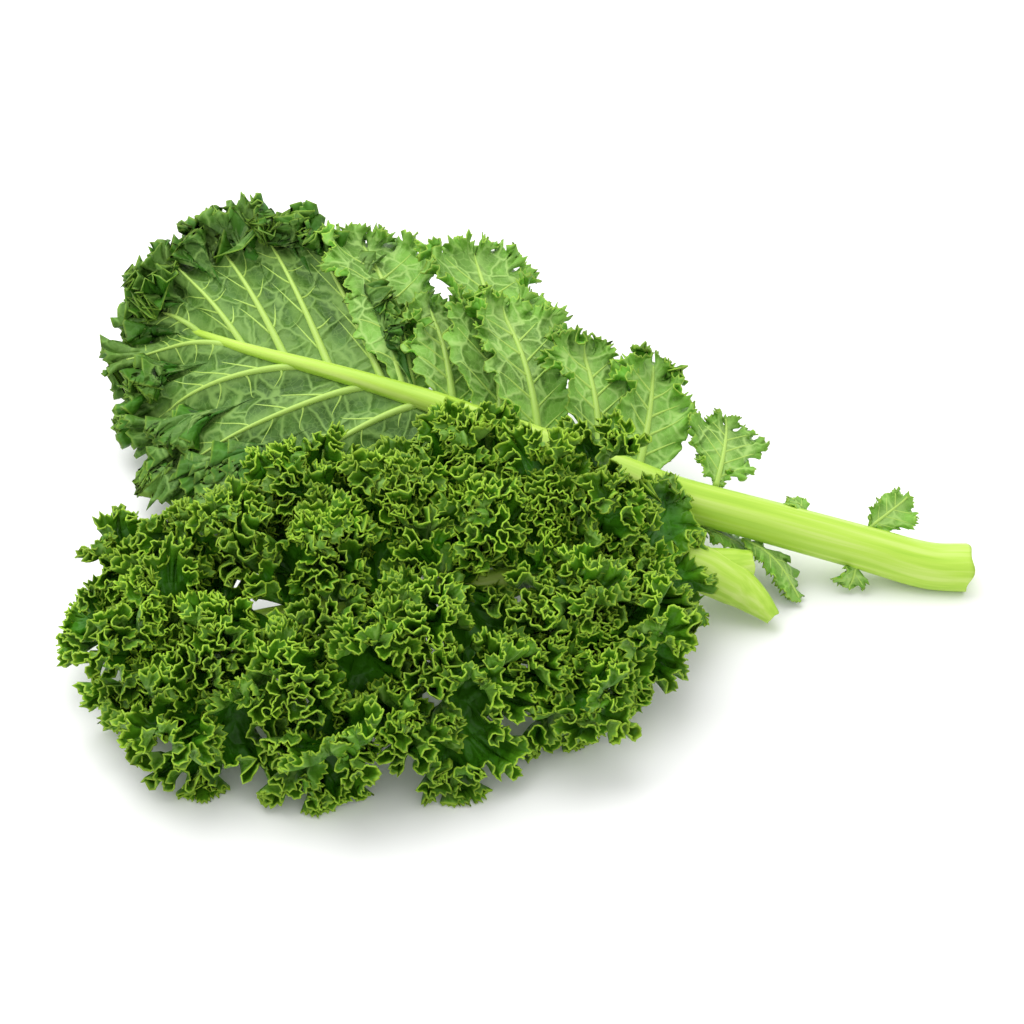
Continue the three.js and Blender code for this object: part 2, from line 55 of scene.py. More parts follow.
SUB_LOBE_LENGTH = 21  # of outline for each half wave of notches
NOTCH_DRIFT = 16  # length over which the notches' depth wanders
SOFTNESS = 2.5  # of the bend where a leaf meets the parting surface or the ground
FLOOR_GAP = 0.1

# First draw of each group of lobes
BACK_SEED, FRONT_SEED, FAN_SEED, LEAFLET_SEED, INNER_SEED = 1, 30, 77, 90, 200

# Stalk and midrib lines: centre points and the radius at each
BACK_STALK = np.array([
    [161, -12, 7.2, 8.6],
    [146, -11, 7.6, 8.4],
    [124, -8, 13, 7.9],
    [92, -4, 21, 7.6],
    [58, 1, 29, 7.2],
    [37, 10, 33, 6.4],
    [-19, 33, 42, 4.4],
    [-40, 42, 44, 3.7],
    [-66, 53, 45, 3],
    [-99, 70, 43, 2],
    [-124, 92, 36, 1.3],
], float)
FRONT_STALK = np.array([
    [90.5, -35, 4.6, 2.9],
    [84.5, -31, 8.8, 5.4],
    [77, -27.5, 13, 7.4],
    [65, -26, 19, 8.3],
    [51, -30, 25.5, 7.8],
    [30, -40, 31, 6],
    [-4, -52, 36, 4.8],
    [-37, -60, 37, 4],
    [-70, -64, 34, 3.2],
    [-104, -64, 26, 2.3],
    [-128, -62, 17, 1.4],
], float)
FRONT_HEEL = np.array([
    [68, -25, 18, 7.4],
    [76, -22, 15.8, 7],
    [82, -19.5, 14.4, 5.8],
], float)


def unit(v):
    """Vectors brought to length 1."""
    v = np.asarray(v, float)
    return v / np.maximum(np.linalg.norm(v, axis=-1, keepdims=True), 1e-12)


# Which way each leaf's upper side faces
BACK_FACE = unit([0, 0.2, -1])
FRONT_FACE = unit([0, -0.5, 0.86])

# Back leaf's blade beyond its side lobes: one sheet of side ribs round the end of the midrib, from the near
# side round the tip to the far side. Each row is x of the rib's foot on the midrib, its tip, and its rise
BACK_FAN = np.array([
    [28, 22, 4, 18, 2],
    [14, -22, -4, 4, 8],
    [-8, -66, 2, 0, 10],
    [-32, -107, 14, 0, 11],
    [-52, -131, 34, 2, 11],
    [-78, -142, 60, 7, 10],
    [-106, -147, 86, 17, 7],
    [-117, -144, 103, 34, 5],
    [-99, -133, 118, 47, 6],
    [-83, -117, 126, 56, 6],
    [-66, -99, 128, 62, 6],
    [-46, -80, 121, 64, 6],
    [-39, -61, 98, 60, 6],
    [-34, -46, 62, 53, 3],
], float)
# Depth of the notch in the leaf's outline past each of these ribs, as a share of the rib
FAN_NOTCHES = [0, 0.42, 0.38, 0.3, 0.24, 0.2, 0.16, 0.16, 0.14, 0.14, 0.16, 0.1, 0]

# Side lobes: x of the foot on the midrib, the rib's tip, its rise, half width and curl in degrees
BACK_LOBES = [
    [43, 51, 52, 46, 4, 14, -20],
    [31, 25, 57, 52, 5, 15, -20],
    [10, -4, 74, 56, 6, 18, -20],
    [-4, -14, 101, 60, 7, 22, -20],
    [-36, -56, 107, 62, 7, 21, -20],
    [-21, -30, 74, 56, 4, 15, -20],
]
FRONT_LOBES = [
    [38, 54, -8, 34, 4, 11, 45],
    [22, 21, -5, 43, 5, 17, 70],
    [2, -4, -2, 48, 6, 19, 75],
    [-20, -30, -8, 49, 6, 19, 75],
    [-44, -59, -12, 47, 6, 19, 75],
    [-72, -89, -19, 40, 6, 19, 75],
    [-97, -123, -30, 27, 6, 17, 75],
    [36, 61, -45, 14, 4, 10, 40],
    [32, 35, -76, 9, 7, 17, 65],
    [10, 15, -90, 5, 9, 19, 75],
    [-18, -24, -110, 4, 10, 21, 75],
    [-50, -65, -113, 4, 11, 21, 75],
    [-82, -103, -108, 4, 9, 19, 75],
    [-104, -125, -83, 5, 8, 16, 75],
    [-118, -123, -54, 12, 5, 13, 75],
]
# Leaflets: the rib's foot and tip, then its rise, half width and curl
LEAFLETS = [
    [72, 8, 28, 77, 33, 36, 2, 12, 15],
    [103, -1, 23, 99, 3, 26, 1, 4, 15],
    [126, -3, 18, 139, 7, 22, 1, 7, 15],
    [121, -13, 9, 119, -17, 3, 1, 5, 15],
    [81, -7, 16, 99, -22, 4, 4, 7, 40],
    [63, -5, 22, 83, -8, 12, 1, 6, 15],
]
# Surface that keeps the two leaves apart: its height on a line across the bunch, and how it falls from there
PARTING = {"height": 51, "drop": 0.62, "line_y": 26, "line_slope": 0.45, "fall": 0.2, "margin": 1.6}


def draw(seed):
    """Repeatable draw between 0 and 1."""
    value = np.sin(np.asarray(seed, float) * 12.9898) * 43758.5453
    return value - np.floor(value)


def drift(x, seed, scale):
    """Smooth wandering between about -1 and 1 along x."""
    total = np.zeros_like(np.asarray(x, float))
    for k, weight in enumerate((0.55, 0.3, 0.15)):
        turn = 2 * np.pi * (x / scale * (1 + 1.13 * k) + draw(seed + 17.7 * k))
        total = total + weight * np.sin(turn)
    return total


def smooth(x, low, high):
    """Share of the way from low to high, with soft ends."""
    t = np.clip((x - low) / (high - low), 0, 1)
    return t * t * (3 - 2 * t)


def soft_ramp(x):
    """Zero below 0 and x above it, with a soft bend between."""
    straight = 12 * SOFTNESS
    return np.where(x > straight, x, SOFTNESS * np.log1p(np.exp(np.minimum(x, straight) / SOFTNESS)))


def settle(points, is_back, thickness):
    """Keeps a leaf on its own side of the parting surface, and off the ground."""
    x, y, z = points[..., 0], points[..., 1], points[..., 2]
    parting = (PARTING["height"] - PARTING["fall"] * np.maximum(0, x)
               - PARTING["drop"] * (PARTING["line_y"] - PARTING["line_slope"] * x - y))
    if is_back:
        limit = parting - PARTING["margin"]
        z = limit - soft_ramp(limit - z)
    else:
        limit = parting + PARTING["margin"]
        z = limit + soft_ramp(z - limit)
    lowest = thickness / 2 + FLOOR_GAP
    z = lowest + soft_ramp(z - lowest)
    return np.stack([x, y, z], axis=-1)


def line_at(line, t):
    """Point, tangent and radius on a stalk's line at shares t of it."""
    t = np.atleast_1d(np.asarray(t, float))
    last = len(line) - 1
    place = np.clip(t * last, 0, last)
    i = np.minimum(np.floor(place).astype(int), last - 1)
    w = (place - i)[:, None]
    points = line[:, :3]
    before = np.vstack([2 * points[:1] - points[1:2], points, 2 * points[-1:] - points[-2:-1]])
    p0, p1, p2, p3 = (before[i + k] for k in range(4))
    v0, v1 = (p2 - p0) / 2, (p3 - p1) / 2
    a = 2 * p1 - 2 * p2 + v0 + v1
    b = -3 * p1 + 3 * p2 - 2 * v0 - v1
    point = a * w ** 3 + b * w ** 2 + v0 * w + p1
    tangent = unit(3 * a * w ** 2 + 2 * b * w + v0)
    radius = line[i, 3] * (1 - w[:, 0]) + line[i + 1, 3] * w[:, 0]
    return point, tangent, radius


def frame_on(tangent, face):
    """Along, across and up (the leaf's upper side) on a line."""
    along = unit(tangent)
    up = unit(face - along * np.sum(along * face, axis=-1, keepdims=True))
    across = np.cross(up, along)
    return along, across, up


def strip_point(line, t, face):
    """Point on a leaf's upper side over its midrib, where side ribs are rooted."""
    point, tangent, radius = line_at(line, t)
    _, _, up = frame_on(tangent, face)
    return point + up * (radius + CLEARANCE + STRIP_THICKNESS / 2)[:, None]


def share_at_x(line, x):
    """Share of a stalk's line where it passes x."""
    low, high = 0.0, 1.0
    for _ in range(30):
        middle = (low + high) / 2
        if line_at(line, middle)[0][0, 0] > x:
            low = middle
        else:
            high = middle
    return low


def turned(vector, axis, angle):
    """Vector turned about an axis, by the right-hand rule."""
    return (vector * math.cos(angle) + np.cross(axis, vector) * math.sin(angle)
            + axis * np.dot(axis, vector) * (1 - math.cos(angle)))


# Values that each vertex of a leaf carries: distance to its edge and from the nearest rib (mm), which side
# of the leaf it is on (1 upper, 0 under) and the lobe's own draw. A stalk's are its coordinates laid out
# straight
LEAF_VALUES = ("edge_mm", "rib_mm", "upper_side", "lobe_draw")
STALK_VALUES = ("round_x_mm", "round_y_mm", "along_mm")
UPPER_SIDE = 2


class Mesh:
    """Collects the vertices, faces and per-vertex values of one piece."""

    def __init__(self, value_names=LEAF_VALUES):
        self.points, self.faces, self.values, self.count = [], [], [], 0
        self.value_names = value_names

    def add(self, points, faces, values):
        self.points.append(points)
        self.faces.append(np.asarray(faces, np.int64) + self.count)
        self.values.append(values)
        self.count += len(points)

    def build(self, name, material):
        points = (np.vstack(self.points) - MIDDLE) * MILLIMETRE
        faces = np.vstack(self.faces)
        values = np.vstack(self.values)
        mesh = bpy.data.meshes.new(name)
        mesh.vertices.add(len(points))
        mesh.vertices.foreach_set("co", points.astype(np.float32).ravel())
        mesh.loops.add(len(faces) * 3)
        mesh.loops.foreach_set("vertex_index", faces.astype(np.int32).ravel())
        mesh.polygons.add(len(faces))
        mesh.polygons.foreach_set("loop_start", np.arange(0, len(faces) * 3, 3, dtype=np.int32))
        mesh.polygons.foreach_set("use_smooth", np.ones(len(faces), bool))
        mesh.update(calc_edges=True)
        for k, label in enumerate(self.value_names):
            attribute = mesh.attributes.new(label, "FLOAT", "POINT")
            attribute.data.foreach_set("value", values[:, k].astype(np.float32))
        mesh.validate()
        piece = bpy.data.objects.new(name, mesh)
        bpy.context.scene.collection.objects.link(piece)
        piece.data.materials.append(material)
        return piece


def thick_sheet(rows, thickness, mesh):
    """Adds a sheet made of rows whose lengths are equal or double; each row is (points, normals, values)."""
    starts = np.cumsum([0] + [len(r[0]) for r in rows])
    count = starts[-1]
    triangles = []
    for (a, _, _), (b, _, _), start_a, start_b in zip(rows, rows[1:], starts, starts[1:]):
        i = np.arange(len(a) - 1)
        p = start_a + i
        if len(a) == len(b):
            q = start_b + i
            triangles += [np.stack([p, q, q + 1], 1), np.stack([p, q + 1, p + 1], 1)]
        else:
            q = start_b + 2 * i
            triangles += [np.stack([p, q, q + 1], 1), np.stack([p, q + 1, p + 1], 1),
                          np.stack([p + 1, q + 1, q + 2], 1)]
    triangles = np.vstack(triangles)
    points = np.vstack([r[0] for r in rows])
    half = thickness / 2 * np.vstack([r[1] for r in rows])
    upper_values = np.vstack([r[2] for r in rows])
    lower_values = upper_values.copy()
    upper_values[:, UPPER_SIDE], lower_values[:, UPPER_SIDE] = 1, 0
    left, right = starts[:-1], starts[1:] - 1
    edge = np.arange(starts[-2], starts[-1])
    root = np.arange(0, starts[1])[::-1]
    loop = np.concatenate([left[:-1], edge, right[:-1][::-1], root[1:-1]])
    following = np.roll(loop, -1)
    wall_a = np.stack([following, loop, loop + count], 1)
    wall_b = np.stack([following, loop + count, following + count], 1)
    faces = np.vstack([triangles, triangles[:, ::-1] + count, wall_a, wall_b])
    solid = np.vstack([points + half, points - half])
    corner = solid[faces]
    if np.einsum("ij,ij->i", corner[:, 0], np.cross(corner[:, 1], corner[:, 2])).sum() < 0:
        faces = faces[:, ::-1]
    mesh.add(solid, faces, np.vstack([upper_values, lower_values]))


# Frills: three orders of folds, each with its wavelength and height, the power by which it fades away from
# the edge and how far in it reaches, all in mm; then the size of the teeth, the spacing of points along the
# edge, how far the edge rolls over here and there, in degrees, and the reach of that roll
FRONT_FRILL = {
    "waves": ((17, 7.4, 1.5, 60), (8.0, 3.0, 2.2, 60), (4.4, 0.9, 3.6, 60)),
    "tooth": 2.1, "step": 1.0, "roll": 0, "roll_reach": 10,
}
INNER_FRILL = {
    "waves": ((14, 6.0, 1.3, 60), (7.2, 2.8, 1.9, 60), (4.4, 0.9, 3.2, 60)),
    "tooth": 2.1, "step": 1.0, "roll": 0, "roll_reach": 10,
}
OPEN_FRILL = {
    "waves": ((19, 5.4, 1.6, 20), (9.4, 2.8, 1.6, 12), (5.0, 0.9, 1.6, 6)),
    "tooth": 2.4, "step": 1.25, "roll": 40, "roll_reach": 9,
}
BACK_FRILL = {
    "waves": ((15, 3.9, 1.8, 11), (7.6, 2.6, 1.7, 7), (4.4, 0.9, 1.6, 5)),
    "tooth": 2.4, "step": 1.05, "roll": 26, "roll_reach": 8,
}
FAN_FRILL = {
    "waves": ((18, 7.6, 1.7, 26), (8.6, 3.9, 1.6, 14), (4.6, 1.1, 1.5, 6)),
    "tooth": 2.1, "step": 1.95, "roll": 85, "roll_reach": 15,
}
LEAFLET_FRILL = {
    "waves": ((9, 2.0, 1.6, 8), (4.6, 1.0, 1.8, 5), (2.6, 0.35, 2.0, 3)),
    "tooth": 1.5, "step": 0.7, "roll": 25, "roll_reach": 5,
}
# Rows of a sheet, as shares of the way to its edge, and how many edge points each of their points spans
LOBE_ROWS = (np.array([0, 0.15, 0.31, 0.46, 0.58, 0.69, 0.79, 0.88, 0.95, 1]),
             (8, 8, 8, 4, 4, 4, 2, 2, 1, 1))
FAN_ROWS = (np.concatenate([np.linspace(0, 0.6, 15), np.linspace(0.635, 0.84, 8), np.linspace(0.865, 1, 8)]),
            (4,) * 15 + (2,) * 8 + (1,) * 8)

# Where the edge rolls over: two drifts along it, each as its draw, length and weight, and a steady share
ROLL_DRIFTS = ((31, 80, 0.7), (37, 44, 0.6))
STEADY_ROLL = 0.15
# How unevenly the folds run: the wander of their phase and height, and the number of folds it drifts over
PHASE_WANDER, PHASE_DRIFT = 1.7, 4.6
HEIGHT_WANDER, HEIGHT_DRIFT = 0.55, 3.1
OVERHANG = 0.22  # of a fold, as a share of its height
FINEST = 2  # the order of folds that is sharp and comes and goes along the edge
FINE_DRIFT = 2.6
TOOTH_WANDER, TOOTH_DRIFT, TOOTH_SHARPNESS = 0.35, 10.6, 1.7
TOOTH_ROOT = 2.6  # distance from the edge at which the teeth begin


def roll_over(points, s, to_edge, ray, frill, seed):
    """Rolls the outermost part of a sheet towards its underside, more in some places than in others."""
    reach = np.minimum(ray, frill["roll_reach"])[None]
    outermost = np.clip(1 - to_edge / reach, 0, 1)
    (seed_a, scale_a, weight_a), (seed_b, scale_b, weight_b) = ROLL_DRIFTS
    bend = math.radians(frill["roll"]) * (weight_a * drift(s, seed + seed_a, scale_a)
                                          + weight_b * drift(s, seed + seed_b, scale_b) + STEADY_ROLL)
    angle = bend[None] * outermost ** 1.2
    outward = unit(np.gradient(points, axis=0))
    square = unit(np.cross(outward, unit(np.gradient(points, axis=1))))
    length = outermost * reach
    points = points + outward * (length * (np.sinc(angle / np.pi) - 1))[..., None]
    sink = length * (1 - np.cos(angle)) / np.where(np.abs(angle) < 1e-4, 1, angle)
    return points - square * sink[..., None]


def ruffle(points, s, shares, ray, calm, frill, size, seed):
    """Folds a sheet more and more towards its edge, and cuts teeth in the rim."""
    distance = s
    to_edge = (1 - shares)[:, None] * ray[None]
    if frill["roll"]:
        points = roll_over(points, s, to_edge, ray, frill, seed)
    for k, (wave, height, power, reach) in enumerate(frill["waves"]):
        wander = PHASE_WANDER * drift(distance, seed + k, PHASE_DRIFT * wave)
        phase = 2 * np.pi * (distance / wave + draw(seed + 5 * k)) + wander
        uneven = 1 + HEIGHT_WANDER * drift(distance, seed + 11 + k, HEIGHT_DRIFT * wave)
        fade = np.clip(1 - to_edge / np.minimum(ray, reach)[None], 0, 1) ** power
        tall = size * height * fade * (calm * uneven)[None]
        u_dir = unit(np.gradient(points, axis=1))
        r_dir = unit(np.gradient(points, axis=0))
        square = unit(np.cross(r_dir, u_dir))
        fold = np.cos(phase)
        if k == FINEST:
            here = np.tanh(3 * drift(distance, seed + 23, FINE_DRIFT * wave))
            fold = (1 - 2 * np.abs(np.sin(phase / 2))) * here
        points = points + square * (tall * fold)[..., None]
        points = points + u_dir * (OVERHANG * tall * np.sin(2 * phase))[..., None]
        steps = np.linalg.norm(np.diff(points[-1], axis=0), axis=1)
        distance = np.concatenate([[0], np.cumsum(steps)])
        if k < FINEST:
            tooth_place = distance
    pitch = frill["waves"][FINEST][0] / 2
    wander = TOOTH_WANDER * drift(tooth_place, seed + 2, TOOTH_DRIFT * pitch)
    turn = tooth_place / pitch + 2 * draw(seed + 10) + wander
    cycle = turn - np.floor(turn)
    tooth = frill["tooth"] * (0.45 + 0.9 * draw(np.floor(turn) + seed)) * calm
    tooth = tooth * (1 - np.abs(2 * cycle - 1)) ** TOOTH_SHARPNESS
    r_dir = unit(np.gradient(points, axis=0))
    rim = smooth(to_edge, TOOTH_ROOT, 0.0)
    return points + r_dir * (rim * tooth[None])[..., None], distance


LONG_EDGE = 200


def sheet(base, edge_length, rows, frill, size, seed, is_back, mesh):
    """Builds a frilled sheet on a plain one.

    base(s, shares) gives the plain sheet at lengths s along its edge and shares of the way out to it: its
    points, the rays' lengths, how calm the frill is (0 to 1), the place round the sheet, the distance from
    the nearest rib, and where along the rib each ray starts.
    """
    shares, steps = rows

    def shaped(s):
        points, ray, calm, place, from_rib, start = base(s, shares)
        points, distance = ruffle(points, s, shares, ray, calm, frill, size, seed)
        return settle(points, is_back, BLADE_THICKNESS), ray, place, from_rib, start, distance

    s = np.linspace(0, edge_length, 4001 if edge_length > LONG_EDGE else 1601)
    distance = shaped(s)[-1]
    coarsest = max(steps)
    columns = coarsest * max(6, round(distance[-1] / frill["step"] / coarsest))
    s = np.interp(np.linspace(0, distance[-1], columns + 1), distance, s)
    points, ray, place, from_rib, start, _ = shaped(s)
    normals = unit(np.cross(np.gradient(points, axis=0), np.gradient(points, axis=1)))
    edge_mm = (1 - shares)[:, None] * ray[None]
    plain = 0 * edge_mm
    values = np.stack([edge_mm, from_rib + plain, plain, plain + draw(seed + 40)], -1)
    thick_sheet([(points[k, ::n], normals[k, ::n], values[k, ::n]) for k, n in enumerate(steps)],
                BLADE_THICKNESS, mesh)
    return {"points": points, "normals": normals, "place": place, "start": start, "shares": shares,
            "ray": ray}


def arc(curl, shares):
    """How far a ray that curls ever more runs straight on and climbs, at shares of its length."""
    x = (np.arange(40) + 0.5) / 40
    angle = curl * (shares[:, None] * x[None]) ** 1.5
    return np.cos(angle).mean(axis=1) * shares, np.sin(angle).mean(axis=1) * shares


def lobe_sheet(spec, frill, is_back, mesh):
    """One lobe: a rib and the lamina that fans out from it on both sides."""
    foot, tip, seed = spec["foot"], spec["tip"], spec["seed"]
    spine = unit(tip - foot)
    shingle = spec.get("shingle", SHINGLE_ANGLE)
    face = turned(spec["face"], spine, shingle if spine[1] > 0 else -shingle)
    _, _, lift = frame_on(spine, face)
    middle = (foot + tip) / 2 + lift * (-2 if is_back else 2) * spec["rise"]

    def rib(t):
        t = np.asarray(t)[..., None]
        return (1 - t) ** 2 * foot + 2 * t * (1 - t) * middle + t * t * tip

    def rib_tangent(t):
        t = np.asarray(t)[..., None]
        return unit(2 * (1 - t) * (middle - foot) + 2 * t * (tip - middle))

    length = np.linalg.norm(np.diff(rib(np.linspace(0, 1, 60)), axis=0), axis=1).sum()

    def outline(place):
        angle = np.abs(place) * FAN_ANGLE
        turn = np.cos(angle)
        widest = spec.get("widest", WIDEST_AT)
        reach = np.where(turn > 0, TIP_REACH - widest, widest)
        bulge = np.sin(angle) ** np.where(turn > 0, 0.8, spec.get("waist", 0.9))
        return length * (widest + reach * turn), np.sign(place) * spec["half_width"] * bulge

    table = np.linspace(-1, 1, 801)
    along, across = outline(table)
    reach = np.concatenate([[0], np.cumsum(np.hypot(np.diff(along), np.diff(across)))])
    edge_length = reach[-1]
    waves = max(2, round(edge_length / SUB_LOBE_LENGTH))

    def base(s, shares):
        place = np.interp(s, reach, table)
        along, across = outline(place)
        start = np.clip(along - np.abs(across) / math.tan(RAY_ANGLE), 0, LAST_FOOT * length)
        t_dir, b_dir, n_dir = frame_on(rib_tangent(start / length), face)
        depth = spec.get("notch", SUB_LOBE_DEPTH)
        swell = 1 + depth * np.sin(2 * np.pi * (waves * s / edge_length * 0.5 + draw(seed)))
        swell = swell * (1 + (0.05 + 0.35 * depth) * drift(s, seed + 3, NOTCH_DRIFT))
        ray = np.hypot(along - start, across) * swell
        heading = np.arctan2(across, along - start)
        outward = t_dir * np.cos(heading)[:, None] + b_dir * np.sin(heading)[:, None]
        run, climb = arc(spec["curl"], shares)
        points = (rib(start / length)[None] + outward[None] * (ray[None] * run[:, None])[..., None]
                  + n_dir[None] * (ray[None] * climb[:, None])[..., None])
        from_rib = shares[:, None] * np.abs(across)[None]
        calm = 1 - 0.8 * smooth(np.abs(place), *spec.get("calm", (0.85, 1)))
        return points, ray, calm, place, from_rib, start

    made = sheet(base, edge_length, LOBE_ROWS, frill, spec.get("frill_share", 1), seed, is_back, mesh)
    return {**made, "rib": rib, "length": length}


def through(points, t):
    """Point at t, counted in points, on the smooth curve through a row of points."""
    t = np.clip(np.asarray(t, float), 0, len(points) - 1)
    i = np.minimum(np.floor(t).astype(int), len(points) - 2)
    w = (t - i)[..., None]
    wide = np.vstack([2 * points[:1] - points[1:2], points, 2 * points[-1:] - points[-2:-1]])
    p0, p1, p2, p3 = (wide[i + k] for k in range(4))
    return 0.5 * (2 * p1 + (p2 - p0) * w + (2 * p0 - 5 * p1 + 4 * p2 - p3) * w ** 2
                  + (3 * p1 - p0 - 3 * p2 + p3) * w ** 3)


def bent(start, middle, end, t):
    """Point at t on the curve that leaves start towards middle and comes to end from there."""
    return (1 - t) ** 2 * start + 2 * t * (1 - t) * middle + t * t * end


# Depth below the midrib's centre at which the end blade is rooted, as a share of the midrib's radius
ROOT_DEPTH = 0.45
ROOT_GAP = 0.8  # between that root and the middle of the midrib
FAN_TIP_RIB = 6.5  # where the blade turns round the midrib's tip, counted in ribs
FAN_CURL = math.radians(-14)
FAN_CURL_REACH = 26
RIB_SAG = 3.2  # of the lamina between two ribs
NO_RIB = 40  # distance from a rib past which none is near


def fan_sheet(mesh):
    """The blade round the end of the back leaf's midrib, with a rib in each of its lobes."""
    foot_share = np.array([share_at_x(BACK_STALK, x) for x in BACK_FAN[:, 0]])
    notches = np.array(FAN_NOTCHES)
    ribs = len(BACK_FAN)

    def rays(place):
        share = through(foot_share[:, None], place)[:, 0]
        point, tangent, radius = line_at(BACK_STALK, share)
        _, across, up = frame_on(tangent, BACK_FACE)
        side = np.tanh(4 * (place - FAN_TIP_RIB))
        foot = point + up * (ROOT_DEPTH * radius)[:, None] + across * (ROOT_GAP * side)[:, None]
        notch = notches[np.minimum(place.astype(int), len(notches) - 1)]
        kept = 1 - notch * (1 - np.abs(np.cos(np.pi * place)) ** 0.7)
        tip = through(BACK_FAN[:, 1:4], place)
        rise = through(BACK_FAN[:, 4:5], place)
        middle = (foot + tip) / 2 + np.array([0, 0, 2]) * rise
        return foot, foot + (middle - foot) * kept[:, None], bent(foot, middle, tip, kept[:, None])

    table = np.linspace(0, ribs - 1, 2601)
    tips = rays(table)[2]
    reach = np.concatenate([[0], np.cumsum(np.linalg.norm(np.diff(tips, axis=0), axis=1))])

    def base(s, shares):
        place = np.interp(s, reach, table)
        foot, middle, tip = rays(place)
        ray = np.linalg.norm(tip - foot, axis=1)
        r = shares[:, None, None]
        points = bent(foot[None], middle[None], tip[None], r)
        outward = unit(2 * (1 - r) * (middle - foot)[None] + 2 * r * (tip - middle)[None])
        square = unit(np.cross(outward, np.gradient(points, axis=1)))
        between = np.abs(np.sin(np.pi * place))[None] * (4 * shares * (1 - shares))[:, None]
        points = points + square * (RIB_SAG * between)[..., None]
        curled = np.clip(1 - (1 - shares)[:, None] * ray[None] / np.minimum(ray, FAN_CURL_REACH)[None], 0, 1)
        lengths = curled * np.minimum(ray, FAN_CURL_REACH)[None]
        angle = FAN_CURL * curled ** 1.5
        points = points + outward * (lengths * (np.cos(angle) - 1))[..., None]
        points = points + square * (lengths * np.sin(angle))[..., None]
        from_rib = np.abs(place - np.round(place)) * np.gradient(s) / np.maximum(np.gradient(place), 1e-9)
        from_rib = shares[:, None] * np.minimum(from_rib, NO_RIB)[None]
        return points, ray, np.ones_like(ray), place, from_rib, place

    return sheet(base, reach[-1], FAN_ROWS, FAN_FRILL, 1, FAN_SEED, True, mesh)


def on_sheet(made, place, share, lift):
    """Points on a sheet's underside at places along it and shares out to its edge."""
    column = np.interp(place, made["place"], np.arange(len(made["place"])))
    row = np.interp(share, made["shares"], np.arange(len(made["shares"])))
    i = np.minimum(np.floor(column).astype(int), made["points"].shape[1] - 2)
    j = np.minimum(np.floor(row).astype(int), made["points"].shape[0] - 2)
    u, v = (column - i)[:, None], (row - j)[:, None]

    def blended(grid):
        return ((1 - v) * ((1 - u) * grid[j, i] + u * grid[j, i + 1])
                + v * ((1 - u) * grid[j + 1, i] + u * grid[j + 1, i + 1]))

    return blended(made["points"]) - lift * unit(blended(made["normals"]))


def tube(path, radius, sides, mesh):
    """Adds a round closed tube along a path, with a radius at each point."""
    path = np.asarray(path, float)
    tangent = unit(np.gradient(path, axis=0))
    reference = np.array([0.0, 0.0, 1.0]) if abs(tangent[:, 2]).mean() < 0.8 else np.array([1.0, 0.0, 0.0])
    side = unit(np.cross(tangent, reference))
    over = np.cross(side, tangent)
    angle = np.arange(sides) / sides * 2 * np.pi
    ring = (side[:, None] * np.cos(angle)[None, :, None]
            + over[:, None] * np.sin(angle)[None, :, None]) * radius[:, None, None]
    points = (path[:, None] + ring).reshape(-1, 3)
    stations = len(path)
    i, k = np.meshgrid(np.arange(stations - 1), np.arange(sides), indexing="ij")
    a, b = (i * sides + k).ravel(), (i * sides + (k + 1) % sides).ravel()
    c, d = a + sides, b + sides
    faces = [np.stack([a, b, d], 1), np.stack([a, d, c], 1)]
    ends = np.vstack([path[0], path[-1]])
    first, last = stations * sides, stations * sides + 1
    k = np.arange(sides)
    faces.append(np.stack([(k + 1) % sides, k, np.full(sides, first)], 1))
    tail = (stations - 1) * sides
    faces.append(np.stack([tail + k, tail + (k + 1) % sides, np.full(sides, last)], 1))
    points = np.vstack([points, ends])
    faces = np.vstack(faces)
    corner = points[faces] - path.mean(axis=0)
    if np.einsum("ij,ij->i", corner[:, 0], np.cross(corner[:, 1], corner[:, 2])).sum() < 0:
        faces = faces[:, ::-1]
    mesh.add(points, faces, np.zeros((len(points), len(mesh.value_names))))


def lobe_specs(line, face, table, first_seed):
    """What each lobe in a table is made from."""
    specs = []
    for i, (x, tip_x, tip_y, tip_z, rise, half_width, curl) in enumerate(table):
        specs.append({
            "foot": strip_point(line, share_at_x(line, x), face)[0],
            "tip": np.array([tip_x, tip_y, tip_z], float),
            "face": face,
            "rise": rise,
            "half_width": half_width,
            "curl": math.radians(curl),
            "seed": first_seed + i,
        })
    return specs


# The front lobes next to the stalk and the back lobe whose lamina is wide down to the midrib
STALK_LOBE = 0
OPEN_LOBE = 7
WIDE_LOBE = 3
# Inner lobes stand up from each front lobe's rib: share along the rib and side of it
INNER_PLACES = ((0.18, 1), (0.46, -1), (0.74, 1))


def inner_specs(outer):
    """What the lobes that stand up from each outer lobe are made from."""
    specs = []
    for i, spec in enumerate(outer):
        foot, tip = spec["foot"], spec["tip"]
        spine = unit(tip - foot)
        _, across, lift = frame_on(spine, spec["face"])
        middle = (foot + tip) / 2 + lift * 2 * spec["rise"]
        for k, (t, side) in enumerate(INNER_PLACES):
            seed = INNER_SEED + 10 * i + k
            side = side if i % 2 else -side
            a, b, c = (float(draw(seed + 0.1 * n)) for n in range(3))
            on_rib = (1 - t) ** 2 * foot + 2 * t * (1 - t) * middle + t * t * tip
            start = on_rib + across * side * 0.25 * spec["half_width"]
            specs.append({
                "foot": start,
                "tip": start + lift * (12 + 5 * a) + spine * (8 * t + 8 * b) + across * side * (6 + 6 * c),
                "face": unit(-spine * (0.4 + 0.8 * b) - across * side * (1.2 * c) + lift * 0.4),
                "rise": 2,
                "half_width": 12 + 2.5 * a,
                "curl": math.radians(50 + 25 * c),
                "seed": seed,
                "shingle": 0.0,
            })
    return specs


def principled(name, rough):
    """New material, with its nodes, links and shader."""
    material = bpy.data.materials.new(name)
    material.use_nodes = True
    nodes = material.node_tree.nodes
    shader = nodes["Principled BSDF"]
    shader.inputs["Roughness"].default_value = rough
    return material, nodes, material.node_tree.links, shader


